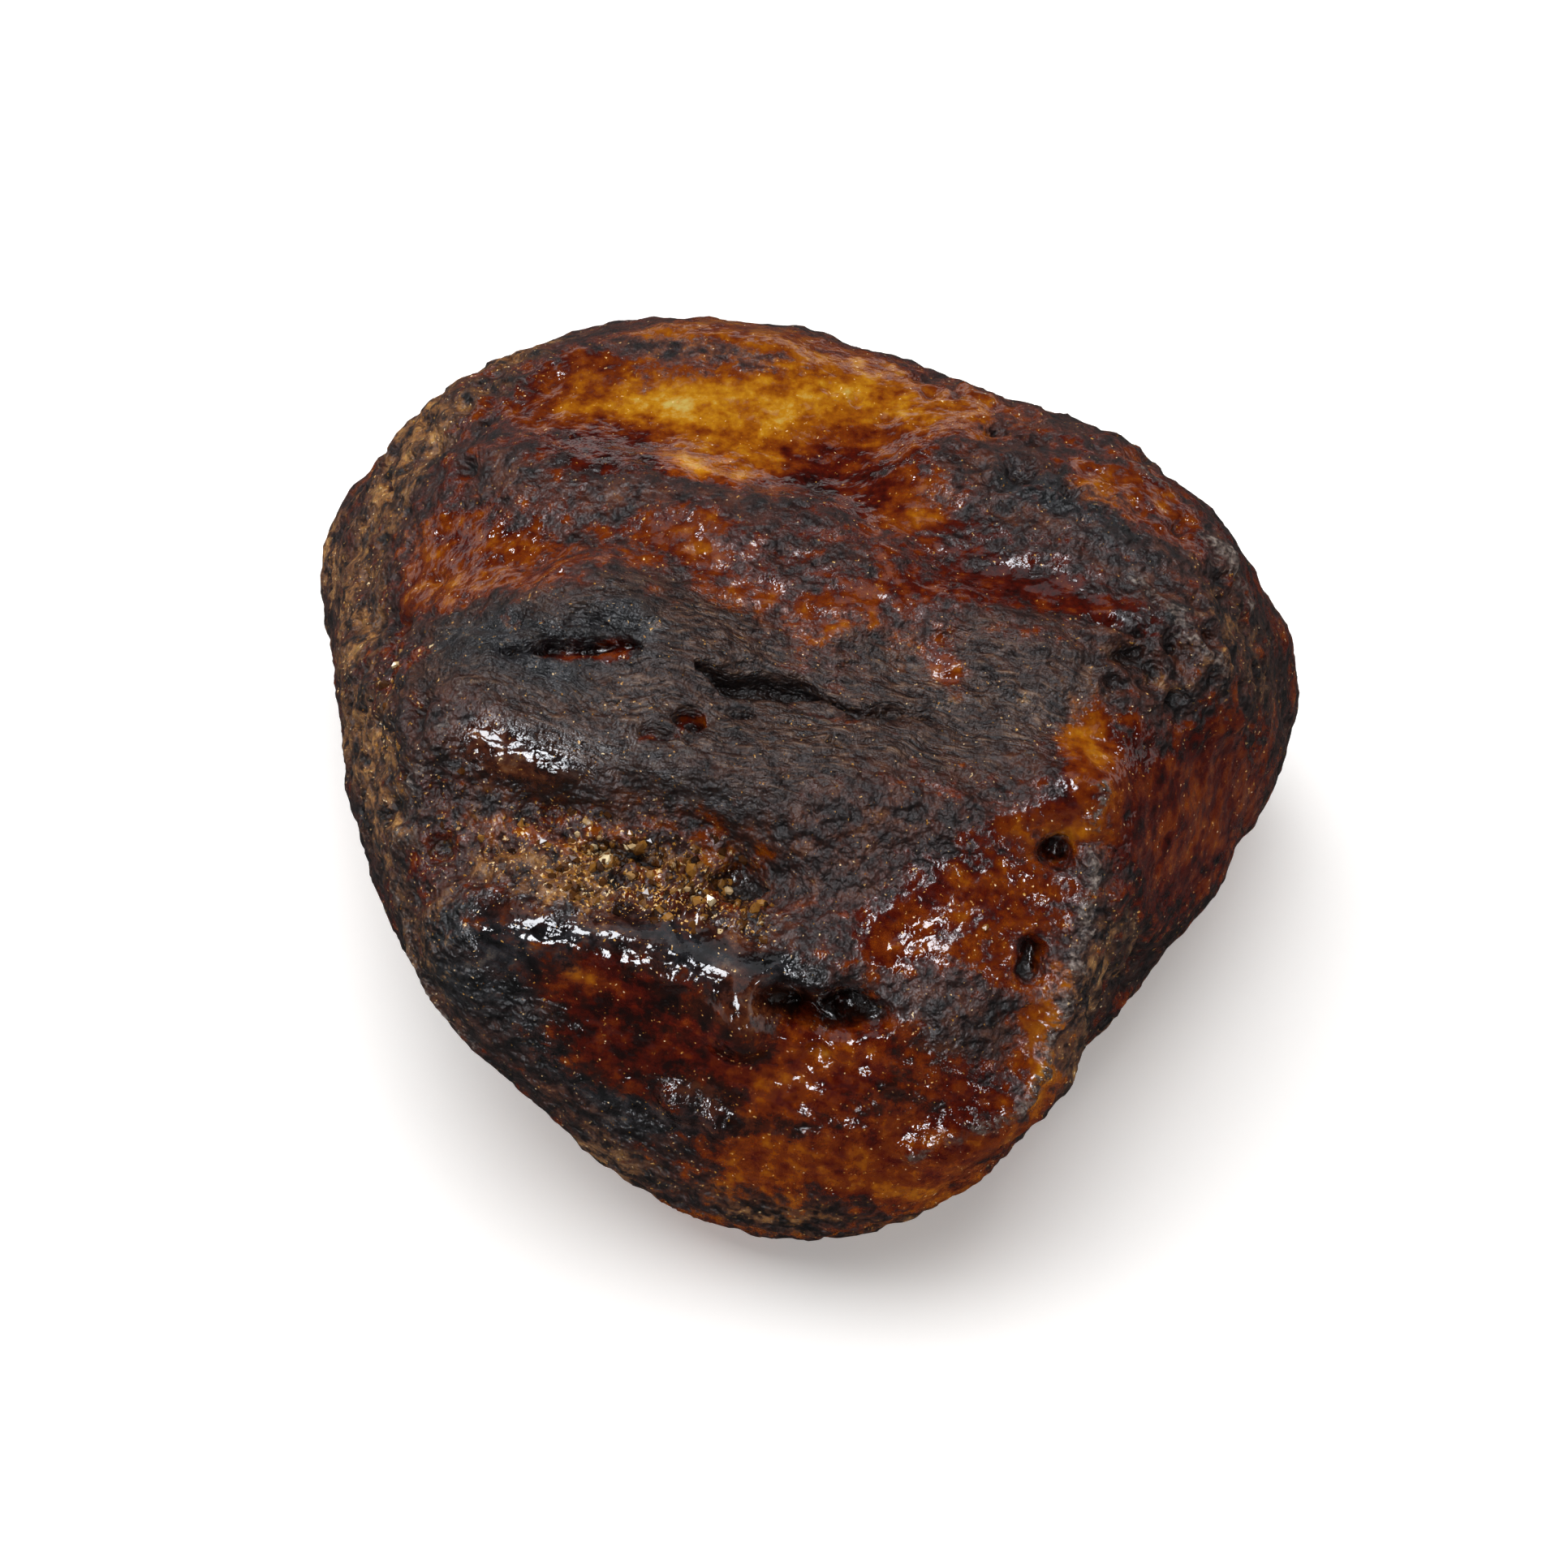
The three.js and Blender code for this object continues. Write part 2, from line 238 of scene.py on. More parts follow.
SOOT = {  # crust that has weathered to a blue-grey black
    "knuckle": (1.0, 3.0, [(-18.0, -3.6, 26.7), (-12.4, -5.0, 28.7), (-8.6, -5.0, 29.2)]),
    "under brow": (0.7, 2.2, [(-15.8, -9.6, 25.6), (-9.0, -11.2, 25.9), (-3.0, -13.0, 24.8)]),
    "brow": (0.35, 3.2, [(-4.0, -9.7, 27.0), (4.0, -8.8, 27.0), (11.5, -8.6, 26.6)]),
    "shelf": (1.0, 2.2, [
        (-16.6, -17.4, 19.0), (-11.0, -17.4, 21.2), (-4.0, -19.6, 20.2), (1.8, -19.8, 20.2)
    ]),
    "low left": (0.9, 3.0, [(-18.0, -16.6, 17.6), (-14.6, -19.2, 16.0), (-11.0, -21.8, 13.0)]),
    "low": (0.8, 1.8, [(-9.0, -22.4, 12.6), (-4.0, -23.2, 12.9)]),
    "upper right": (1.3, 2.0, [(9.6, 5.4, 29.6), (12.2, 3.8, 29.7), (14.8, 1.6, 29.3), (16.8, -0.8, 28.4)]),
    "sill": (0.4, 1.4, [(-14.2, 6.0, 28.2), (-10.0, 4.6, 29.2), (-6.0, 3.4, 29.6)]),
    "step": (0.5, 1.2, [(7.0, -4.4, 28.4), (12.0, -4.6, 28.4), (16.0, -5.2, 27.8)]),
    "pale crest": (0.3, 0.8, [(14.0, -14.0, 23.4), (14.1, -16.5, 20.8), (12.8, -20.0, 16.9)]),
}
TAN = {  # porous skin that has dried to a leather brown
    "left flank": (1.0, 3.6, [
        (-17.0, 15.6, 25.4), (-21.0, 12.6, 22.0), (-23.2, 7.5, 19.6), (-24.0, 1.0, 18.0),
        (-22.4, -6.0, 20.0)
    ]),
    "left foot": (0.75, 3.0, [(-21.0, -10.0, 20.0), (-19.0, -14.6, 18.0)]),
    "hollow": (0.9, 2.2, [(-16.0, -13.6, 21.9), (-10.2, -14.4, 22.1), (-4.2, -15.0, 21.4)]),
    "brow right": (0.2, 2.6, [(6.0, -6.8, 27.4), (11.5, -8.2, 26.8), (13.6, -8.8, 26.4)]),
    "lower right": (0.9, 3.0, [(15.4, -14.8, 16.6), (14.1, -17.5, 17.0), (13.4, -20.0, 12.0)]),
    "right edge": (0.6, 2.4, [(20.6, -0.6, 25.6), (24.0, -1.0, 18.0), (21.6, -7.6, 13.0)]),
    "front edge": (0.6, 1.6, [(-12.6, -22.2, 10.6), (-7.0, -24.2, 8.6), (-1.0, -25.0, 8.2)]),
}
GOLD = {  # rough golden grains
    "hollow": (1.0, 2.1, [(-13.6, -12.6, 22.6), (-10.4, -13.4, 22.3), (-5.4, -14.8, 21.6)]),
    "hollow front": (1.0, 1.4, [(-12.0, -15.2, 21.9), (-7.0, -16.2, 21.5), (-2.6, -17.0, 21.2)]),
    "mottled": (0.2, 3.0, [(3.0, -18.0, 21.2), (9.6, -16.6, 21.8)]),
    "left": (0.5, 2.6, [(-20.4, -3.0, 23.4), (-18.4, -11.0, 22.6)]),
}
GLOSS = {  # skin that still shines as if it were wet
    "shelf": (1.3, 2.0, [
        (-15.0, -17.2, 20.8), (-11.0, -17.8, 21.1), (-5.8, -18.8, 20.6), (-2.6, -20.0, 20.2)
    ]),
    "low front": (1.1, 4.2, [(-10.0, -20.4, 16.6), (-3.4, -22.2, 16.4), (2.0, -22.4, 17.4)]),
    "bottom": (0.6, 4.0, [(-2.0, -24.6, 10.8), (6.0, -24.4, 11.4)]),
    "under brow": (1.2, 1.8, [(-15.6, -9.8, 25.9), (-14.2, -10.3, 25.8), (-11.9, -10.8, 25.9)]),
    "windows": (0.4, 4.0, [(-16.2, 1.8, 26.7), (-6.0, 10.0, 28.0), (4.0, 8.0, 28.4)]),
    "right face": (0.45, 4.0, [(16.1, -10.4, 24.1), (20.6, -6.0, 17.5)]),
}
FLOW_RIDGES = {  # where the flow lines stand out
    "knuckle": (1.0, 4.0, [(-18.0, -4.0, 26.6), (-9.0, -5.4, 28.8)]),
    "brow": (1.0, 4.0, [(-9.0, -9.0, 27.2), (2.0, -9.0, 27.0), (12.0, -8.0, 26.8)]),
    "middle": (0.45, 3.5, [(-6.0, -2.0, 29.2), (8.0, -4.0, 28.4)]),
    "upper right": (0.35, 4.0, [(8.0, 3.0, 29.2), (17.0, -1.0, 28.4)]),
    "sill": (0.3, 3.0, [(-15.0, 6.0, 28.0), (0.0, 2.0, 29.2)]),
    "lower front": (0.6, 3.5, [(2.0, -23.4, 14.8), (9.6, -20.6, 17.0)]),
}
POROUS = {  # where pores and pits lie close together
    "left flank": (1.0, 5.0, [
        (-17.0, 16.0, 25.0), (-22.0, 11.0, 21.0), (-24.0, 2.0, 19.0), (-22.0, -8.0, 20.0)
    ]),
    "left pits": (0.8, 3.0, [(-21.0, 0.6, 22.6), (-18.6, -11.6, 22.2)]),
    "back right edge": (0.9, 4.0, [
        (5.0, 13.6, 27.0), (14.0, 8.4, 27.2), (20.6, 1.0, 26.0), (23.6, -1.0, 20.0)
    ]),
    "right pits": (0.8, 3.0, [(15.8, -5.0, 27.2), (20.4, -4.2, 25.8)]),
    "lower right": (0.8, 3.4, [(15.4, -14.8, 16.6), (13.6, -19.0, 12.0)]),
    "hollow": (0.7, 2.6, [(-15.0, -13.6, 22.0), (-4.4, -14.8, 21.6)]),
    "upper right": (0.7, 2.5, [(9.0, 5.0, 29.5), (13.0, 4.0, 29.7)]),
}

# The marks that the surface carries from place to place, which the material reads.
FEELS = ("worn_off", "honey", "soot", "tan", "fibrous", "gold", "gloss", "pale", "hollow")


def linear(hex_colour):
    """An sRGB hex value as linear red, green, blue and an alpha of 1."""
    channels = [int(hex_colour[i : i + 2], 16) / 255 for i in (1, 3, 5)]
    return [c / 12.92 if c <= 0.04045 else ((c + 0.055) / 1.055) ** 2.4 for c in channels] + [1.0]


# ---------------------------------------------------------------- shape


SPLITS = 2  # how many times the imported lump's faces are split and rounded before it is carved


def fine_copy(node):
    """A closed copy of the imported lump, rounded and split fine enough to carve, as a mesh object."""
    closed = bmesh.new()
    closed.from_mesh(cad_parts[node].data)
    bmesh.ops.remove_doubles(closed, verts=closed.verts, dist=MM / 1000)
    mesh = bpy.data.meshes.new("lump")
    closed.to_mesh(mesh)
    closed.free()
    rough = bpy.data.objects.new("rough_lump", mesh)
    bpy.context.scene.collection.objects.link(rough)
    split = rough.modifiers.new("split", "SUBSURF")
    split.levels = split.render_levels = SPLITS
    fine = bpy.data.meshes.new_from_object(rough.evaluated_get(bpy.context.evaluated_depsgraph_get()))
    bpy.data.objects.remove(rough)
    fine.materials.clear()
    lump = bpy.data.objects.new("weathered_amber", fine)
    bpy.context.scene.collection.objects.link(lump)
    return lump


def read(kind, points, *settings):
    """One of Blender's noises at each point."""
    return np.array([kind(p, *settings) for p in points.tolist()])


def along_flow(points, length, width):
    """Points turned so that the flow runs along X, in units of a flow line's length and width."""
    turned = points @ np.array(FLOW_TURN.to_matrix())
    return turned / np.array([length, width, width])


def strayed(points, wave, reach):
    """Points moved a little, each by a slow noise, so that what follows them is never quite straight."""
    return points + reach * read(noise.noise_vector, points / wave)


def from_line(points, line):
    """How far each point is from a line in mm, and how far along it, from 0 to 1."""
    line = np.array(line, float)
    if len(line) == 1:
        return np.linalg.norm(points - line[0], axis=1), np.full(len(points), 0.5)
    spans = np.diff(line, axis=0)
    lengths = np.linalg.norm(spans, axis=1)
    before = np.concatenate([[0], np.cumsum(lengths)])
    nearest, place = np.full(len(points), np.inf), np.zeros(len(points))
    for start, span, length, passed in zip(line, spans, lengths, before):
        share = np.clip((points - start) @ span / length**2, 0, 1)
        away = np.linalg.norm(points - start - share[:, None] * span, axis=1)
        closer = away < nearest
        nearest[closer] = away[closer]
        place[closer] = (passed + share[closer] * length) / before[-1]
    return nearest, place


def eased(low, high, value):
    """0 below low, 1 above high, and a smooth step between them."""
    t = np.clip((value - low) / (high - low), 0, 1)
    return t * t * (3 - 2 * t)


def patches(points, table):
    """The sum of a table's patches at each point, each one fading out from its line."""
    total = np.zeros(len(points))
    for strength, reach, line in table.values():
        total += strength * np.exp(-((from_line(points, line)[0] / reach) ** 2))
    return total


def carved(points, fretted):
    """How far the named slits, pits, knobs and crests move the surface, in mm."""
    height = np.zeros(len(points))
    for depth, width, line in SLITS.values():
        away, place = from_line(points, line)
        half = width * np.sin(np.pi * np.clip(place, 0.02, 0.98)) ** 0.7
        height += depth * eased(1.15, 0.35, away / half)
    for depth, width, line in PITS.values():
        height += depth * eased(1.25, 0.2, from_line(points, line)[0] / width)
    for rise, width, line in KNOBS.values():
        height += rise * eased(1.5, 0.0, from_line(points, line)[0] / width)
    for rise, width, line in CRESTS.values():
        height += rise * np.exp(-((from_line(points, line)[0] / width) ** 2))
    for rise, width, line in PALE_CRESTS.values():
        height += rise * np.exp(-from_line(fretted, line)[0] / width)
    return height


def pores(points, size, share):
    """Round pores: one to a cell of that size in mm, in that share of the cells. 1 is the floor of a pore."""
    nearest, where = [], []
    for p in (points / size).tolist():
        distances, cells = noise.voronoi(p)
        nearest.append(distances[0])
        where.append(cells[0])
    chance = np.abs([noise.cell(c * 7.3) for c in where])
    return eased(0.5, 0.12, np.array(nearest)) * eased(1 - share, 1.02 - share, chance)


def net(points, size):
    """A net of ridges around cells of that size in mm. 1 is the top of a ridge."""
    gap = [distances[1] - distances[0] for distances, _ in map(noise.voronoi, (points / size).tolist())]
    return eased(0.55, 0.08, np.array(gap))


# How far each kind of unevenness moves the surface, in mm for each unit of its noise or pattern.
HEIGHTS = {
    "broad lines": 0.30,
    "narrow lines": 0.28,
    "swells": 0.25,
    "lumps": 0.2,
    "grains": 0.1,
    "golden grains": 0.6,
    "leather": 0.3,
    "holes": 0.55,
    "dents": 0.3,
}
LINE_CREST = 0.3  # the flow lines crest where their noise is 0, and sink where it is further from 0 than this
FLAT_EDGE = (0.1, 1.2)  # between these heights in mm, the flat that it rests on turns into carved skin


def carve(lump):
    """Moves the surface in and out along its normals, and marks what each place of it is like.

    A mark is the sum of its patches, with what the other marks and the slow noises add to it or take away.
    """
    mesh = lump.data
    count = len(mesh.vertices)
    points, normals = np.zeros(count * 3), np.zeros(count * 3)
    mesh.vertices.foreach_get("co", points)
    mesh.vertices.foreach_get("normal", normals)
    points, normals = points.reshape(-1, 3) / MM, normals.reshape(-1, 3)

    near = strayed(points, 3.0, 0.9)
    wide = strayed(points, 6.0, 2.0)
    fretted = strayed(strayed(points, 1.6, 0.5), 0.7, 0.22)
    wavy = strayed(points, 2.0, 0.4)
    slow = read(noise.fractal, points / 9.0, 0.8, 2.1, 4)
    back = eased(-2, 12, points[:, 1]) * eased(22, 14, points[:, 2])  # the sides that are turned away
    far = np.maximum(back, eased(12, 5, points[:, 2]))
    named = carved(wavy, fretted)
    ridges = np.clip(patches(wide, FLOW_RIDGES) + 0.25, 0, 1)
    porous = np.clip(patches(wide, POROUS) + 0.45 * far + 0.15, 0, 1)
    soot = patches(wide, SOOT) + 0.5 * far * read(noise.fractal, points / 7.0 + 31, 0.8, 2.1, 3)
    leather = porous * net(near, 1.5)
    holes = porous * np.maximum(pores(near, 1.6, 0.75), pores(near + 40, 3.2, 0.4))
    dry_net = leather * (1 - np.clip(soot, 0, 1))
    dents = ridges * pores(along_flow(near, 1.9, 0.8), 1.0, 0.45)
    floors = np.clip(patches(fretted, LIT_FLOORS), 0, 1)
    tan = patches(wide, TAN) + far * (0.35 + read(noise.fractal, points / 8.0 + 57, 0.8, 2.1, 3))
    gold = patches(near, GOLD)
    feel = {
        "worn_off": (
            patches(near, WORN_OFF)
            + 0.15
            + 0.9 * slow * (0.4 + far)
            - 0.5 * holes
            - 0.4 * np.clip(tan, 0, 1)
            + 2.2 * floors
        ),
        "honey": np.clip(patches(wide, HONEY) + 0.1 + 0.25 * far * (0.6 + slow) + 0.15 * floors, 0, 1.1),
        "soot": np.clip(soot, 0, 1),
        "tan": np.clip(tan + 0.8 * dry_net - 0.35 * porous - 0.5 * holes, 0, 1),
        "fibrous": ridges,
        "gold": np.clip(0.08 * gold + 0.05 * np.clip(tan, 0, 1) - 0.04, -0.1, 0.3),
        "gloss": np.clip(patches(wide, GLOSS), 0, 1),
        "pale": np.clip(patches(fretted, PALE_CRESTS) + 0.1 * dry_net, 0, 1),
        # painted shade: how deep each place lies in a carved slit or pit, a pore or a dent, used only to
        # darken it there; floors worn down to amber are mostly spared
        "hollow": np.clip(eased(0.2, 1.1, -named) * (1 - 0.85 * floors) + 0.7 * holes + 0.6 * dents, 0, 1),
    }

    broad = read(noise.fractal, along_flow(wide, 9.0, 2.4), 0.9, 2.0, 3)
    narrow = read(noise.fractal, along_flow(near, 4.0, 0.9), 0.8, 2.0, 2)
    swells = read(noise.fractal, points / 5.0 + 3, 0.9, 2.0, 2)
    lumps = read(noise.fractal, points / 2.2 + 11, 0.8, 2.0, 4)
    grains = read(noise.fractal, points / 1.0 + 23, 0.6, 2.0, 2)
    tall = HEIGHTS
    broad_lines = tall["broad lines"] * (LINE_CREST - np.abs(broad))
    height = ridges * (broad_lines + tall["narrow lines"] * (LINE_CREST - np.abs(narrow)))
    # worn and glossy places are smoothest, and the flow lines stay mostly clear of other marks
    calm = np.maximum(0.95 * feel["gloss"], 0.8 * eased(0.3, 1.4, feel["worn_off"]))
    calm = np.maximum(calm, 0.6 * ridges)
    height += tall["swells"] * swells * (1 - 0.5 * calm) + tall["lumps"] * lumps * (1 - calm)
    height += (tall["grains"] * (1 - calm) + tall["golden grains"] * np.clip(gold - 0.25, 0, 1)) * grains
    leathery = (1 - calm) * tall["leather"] * leather
    height += leathery - tall["holes"] * holes - tall["dents"] * (1 - calm) * dents + named

    resting = eased(*FLAT_EDGE, points[:, 2])  # the face that it rests on stays flat
    moved = points + normals * (height * resting)[:, None]
    moved[:, 2] = np.maximum(moved[:, 2], 0)
    mesh.vertices.foreach_set("co", (moved * MM).ravel())
    mesh.shade_smooth()
    for name in FEELS:
        mesh.attributes.new(name, "FLOAT", "POINT").data.foreach_set("value", feel[name].astype(np.float32))
    mesh.update()
    return moved, normals, gold


def crumbs(name, centres, radii, flatness, splits, facing=None):
    """Small rough solids as one mesh, each with a shade from 0 to 1. Flat ones lie across their facing."""
    ball = bmesh.new()
    bmesh.ops.create_icosphere(ball, subdivisions=splits, radius=1.0)
    shape = np.array([v.co for v in ball.verts])
    sides = np.array([[v.index for v in f.verts] for f in ball.faces])
    ball.free()
    chance = np.random.default_rng(len(centres))
    corners = []
    for n, (centre, radius) in enumerate(zip(centres, radii)):
        turned = Euler(chance.uniform(0, 2 * math.pi, 3)).to_matrix()
        if facing is not None:
            tilt = Vector(facing[n] + chance.normal(0, 0.25, 3))
            turned = tilt.to_track_quat("Z", "Y").to_matrix()
        uneven = shape * chance.uniform(0.75, 1.25, (len(shape), 1)) * (1, chance.uniform(0.6, 1), flatness)
        corners.append(centre + radius * uneven @ np.array(turned).T)
    faces = (sides[None] + len(shape) * np.arange(len(centres))[:, None, None]).reshape(-1, 3)
    mesh = bpy.data.meshes.new(name)
    mesh.from_pydata((np.concatenate(corners) * MM).tolist(), [], faces.tolist())
    shades = np.repeat(chance.uniform(0, 1, len(centres)), len(shape)).astype(np.float32)
    mesh.attributes.new("shade", "FLOAT", "POINT").data.foreach_set("value", shades)
    piece = bpy.data.objects.new(name, mesh)
    bpy.context.scene.collection.objects.link(piece)
    return piece


# ---------------------------------------------------------------- materials


def new_material(name):
    """A material with an empty node tree."""
    material = bpy.data.materials.new(name)
    material.use_nodes = True
    material.node_tree.nodes.clear()
    return material


def add_node(tree, kind, inputs=(), out=0, stops=(), **settings):
    """Adds a node and returns one of its outputs.

    Each input, by name or number, gets a value or another node's output.
    """
    node = tree.nodes.new(kind)
    for name, value in settings.items():
        setattr(node, name, value)
    for name, value in dict(inputs).items():
        if isinstance(value, bpy.types.NodeSocket):
            tree.links.new(value, node.inputs[name])
        else:
            node.inputs[name].default_value = value
    for n, (position, colour) in enumerate(stops):
        while len(node.color_ramp.elements) <= n:
            node.color_ramp.elements.new(1.0)
        node.color_ramp.elements[n].position = position
        node.color_ramp.elements[n].color = linear(colour)
    return node.outputs[out] if node.outputs else node


# The noises that the skin is drawn with: whether it is drawn out along the flow, its size in mm, how many
# times it is split finer, and how strong the finer ones are. Real hairs, grit and specks are too fine to
# show, so these are drawn about twice as wide.
PATTERNS = {
    "wisps": (True, 1.5, 3.0, 0.6),
    "hairs": (True, 0.22, 2.0, 0.6),
    "mottle": (False, 1.1, 5.0, 0.66),
    "dimples": (False, 0.6, 1.0, 0.5),
    "grit": (False, 0.26, 1.5, 0.6),
    "specks": (False, 0.2, 1.5, 0.6),
}
# What each place is like, from its mark and from how much of each pattern is added to it.
BLENDS = {
    "worn_off": {"wisps": 2.2, "mottle": 2.6, "grit": 0.8},
    "honey": {"wisps": 0.6, "mottle": 1.2, "dimples": 0.3},
    "soot": {"wisps": 1.6, "mottle": 0.8, "hairs": 0.5},
    "tan": {"mottle": 1.4, "grit": 1.2},
    "fibrous": {"mottle": 1.2, "wisps": 0.8},
    "gold": {"specks": 1.0, "mottle": 0.25},
    "pale": {"hairs": 0.9, "grit": 0.5},
    "hollow": {"grit": 0.6},
    "gloss": {"mottle": 0.8},
}
# The layers, from the lowest up: the blend that lays it, where it begins and where it is whole, what picks
# its shade, and its shades.
LAYERS = {
    "crust": (None, 0, 0, "mottle", [
        (0.34, "#0b0302"), (0.46, "#260d07"), (0.56, "#4c2312"), (0.68, "#7e4b27")
    ]),
    "fibres": ("fibrous", 0.45, 1.2, "hairs", [
        (0.36, "#0b0403"), (0.45, "#25150f"), (0.6, "#4c3428"), (0.78, "#8b6b50")
    ]),
    "soot": ("soot", 0.4, 1.05, "mottle", [
        (0.34, "#060607"), (0.46, "#151517"), (0.58, "#2b2b2f"), (0.72, "#5c554f")
    ]),
    "dry skin": ("tan", 0.3, 0.9, "mottle", [
        (0.38, "#120804"), (0.46, "#4a280d"), (0.54, "#8e5a22"), (0.68, "#cc9a50")
    ]),
    "film": ("worn_off", -0.35, 0.35, "honey", [
        (0, "#1b0503"), (0.3, "#451a0b"), (0.6, "#6e3c16"), (1, "#9a763e")
    ]),
    "amber": ("worn_off", 0.15, 0.75, "honey", [
        (0, "#2a0401"), (0.2, "#601503"), (0.4, "#954005"), (0.6, "#c8720a"), (0.8, "#f2a61d"), (1, "#ffdd74")
    ]),
    "pale fibres": ("pale", 0.2, 0.6, "grit", [(0.3, "#2a1d18"), (0.5, "#5c4c44"), (0.7, "#8f8076")]),
    # real golden grit, whose palest shades also paint tiny glints and light shining through thin edges
    "golden flecks and painted glints": ("gold", 0.16, 0.2, "grit", [(0.35, "#7d4c1a"), (0.5, "#c8913c"), (0.66, "#f6dcae")]),
    # painted shade: carved slits, pits, pores and dents are darkened by how deep they lie, for the shade
    # inside them
    "painted recess shade": ("hollow", 0.35, 1.1, "mottle", [(0.3, "#050302"), (0.7, "#1d0c06")]),
}
# The finish, and how much the layers and patterns change it: how rough it is, from 0 to 1, and its fine
# relief in mm.
ROUGHNESS = (
    0.54,
    {"amber": -0.4, "fibres": -0.12, "soot": -0.12, "gloss": -0.46, "golden flecks and painted glints": -0.4, "grit": 0.3},
)
RELIEF = {"wrinkles": 0.2, "dimples": 0.6, "grit": 0.16, "specks": 0.08}
SMOOTHEST = 0.07  # no place is less rough than this
POLISHED = 0.08  # the share of the fine relief that is left where the skin shines
AMBER_IOR = 1.54
CLEARNESS = 0.5  # cloudy resin: in a window at most this share passes, and the rest is scattered
PAINTED_INNER_GLOW = "#e6b874"  # painted glow: the inner faces are painted pale amber for the light that scatters back inside the cloudy resin
PASSED_COLOUR = (0.933, 0.7, 0.0, 1.0)  # hardly any red is absorbed, some green, and blue the most
ABSORPTION = 300.0  # for each metre


def weathered_amber():
    """Raw amber under its own weathered crust: resin, water-worn and naturally polished, with a dull skin.

    The resin gives deep see-through reds and honey yellows, and the skin gives matt brown and blue-grey with
    a wet shine here and there.
    """
    material = new_material("weathered_amber")
    tree = material.node_tree
    place = add_node(tree, "ShaderNodeTexCoord", out="Object")
    mm = add_node(tree, "ShaderNodeVectorMath", {0: place, "Scale": 1 / MM}, operation="SCALE")
    slow = add_node(tree, "ShaderNodeTexNoise", {"Vector": mm, "Scale": 1 / 5, "Detail": 2.0}, out="Color")
    stray = add_node(tree, "ShaderNodeVectorMath", {0: slow, 1: (3, 3, 3), 2: mm}, operation="MULTIPLY_ADD")
    drawn_out = {"Vector": stray, "Rotation": FLOW_TURN, "Scale": (6, 1, 1)}
    flow = add_node(tree, "ShaderNodeMapping", drawn_out, vector_type="TEXTURE")

    value = {}
    for name, (flows, size, splits, strength) in PATTERNS.items():
        inputs = {"Vector": flow if flows else mm, "Scale": 1 / size, "Detail": splits, "Roughness": strength}
        value[name] = add_node(tree, "ShaderNodeTexNoise", inputs, out="Fac")
    swing = {}
    for name in PATTERNS:
        swing[name] = add_node(tree, "ShaderNodeMath", {0: value[name], 1: 0.5}, operation="SUBTRACT")
    for name, parts in BLENDS.items():
        value[name] = add_node(tree, "ShaderNodeAttribute", out="Fac", attribute_name=name)
        for pattern, amount in parts.items():
            added = {0: swing[pattern], 1: amount, 2: value[name]}
            value[name] = add_node(tree, "ShaderNodeMath", added, operation="MULTIPLY_ADD")

    share, colour = {"grit": swing["grit"]}, None
    for name, (blend, low, high, shade_by, shades) in LAYERS.items():
        over = add_node(tree, "ShaderNodeValToRGB", {0: value[shade_by]}, stops=shades)
        if blend is None:
            colour = over
            continue
        edge = {"Value": value[blend], "From Min": low, "From Max": high}
        share[name] = add_node(tree, "ShaderNodeMapRange", edge, interpolation_type="SMOOTHSTEP")
        laid = {0: share[name], 6: colour, 7: over}
        colour = add_node(tree, "ShaderNodeMix", laid, out=2, data_type="RGBA")
    share["gloss"] = add_node(tree, "ShaderNodeClamp", {"Value": value["gloss"]})
    # painted glow: faces seen from inside the resin take the pale inner glow colour
    inside = add_node(tree, "ShaderNodeNewGeometry", out="Backfacing")
    laid = {0: inside, 6: colour, 7: linear(PAINTED_INNER_GLOW)}
    colour = add_node(tree, "ShaderNodeMix", laid, out=2, data_type="RGBA")

    rough, changes = ROUGHNESS
    for name, change in changes.items():
        changed = {0: share[name], 1: change, 2: rough}
        rough = add_node(tree, "ShaderNodeMath", changed, operation="MULTIPLY_ADD")
    rough = add_node(tree, "ShaderNodeMath", {0: rough, 1: SMOOTHEST}, operation="MAXIMUM")
    wrinkles = {0: value["hairs"], 1: share["fibres"]}
    value["wrinkles"] = add_node(tree, "ShaderNodeMath", wrinkles, operation="MULTIPLY")
    plain = {"Value": share["fibres"], "To Min": 1.0, "To Max": 0.3}
    plain = {0: value["dimples"], 1: add_node(tree, "ShaderNodeMapRange", plain)}
    value["dimples"] = add_node(tree, "ShaderNodeMath", plain, operation="MULTIPLY")
    raised = 0.0
    for name, height in RELIEF.items():
        added = {0: value[name], 1: height, 2: raised}
        raised = add_node(tree, "ShaderNodeMath", added, operation="MULTIPLY_ADD")
    polished = add_node(tree, "ShaderNodeMath", {0: share["amber"], 1: 0.9}, operation="MULTIPLY")
    polished = add_node(tree, "ShaderNodeMath", {0: share["gloss"], 1: polished}, operation="MAXIMUM")
    strength = add_node(tree, "ShaderNodeMapRange", {"Value": polished, "To Min": 1.0, "To Max": POLISHED})
    relief = add_node(tree, "ShaderNodeBump", {"Height": raised, "Strength": strength, "Distance": MM})
    unflecked = {"Value": share["golden flecks and painted glints"], "To Min": CLEARNESS, "To Max": 0.0}
    clear = add_node(tree, "ShaderNodeMapRange", unflecked)
    clear = add_node(tree, "ShaderNodeMath", {0: clear, 1: share["amber"]}, operation="MULTIPLY")

    look = {"Base Color": colour, "Roughness": rough, "IOR": AMBER_IOR}
    look |= {"Transmission Weight": clear, "Normal": relief}
    skin = add_node(tree, "ShaderNodeBsdfPrincipled", look)
    depth = add_node(tree, "ShaderNodeVolumeAbsorption", {"Color": PASSED_COLOUR, "Density": ABSORPTION})
    add_node(tree, "ShaderNodeOutputMaterial", {"Surface": skin, "Volume": depth})
    return material


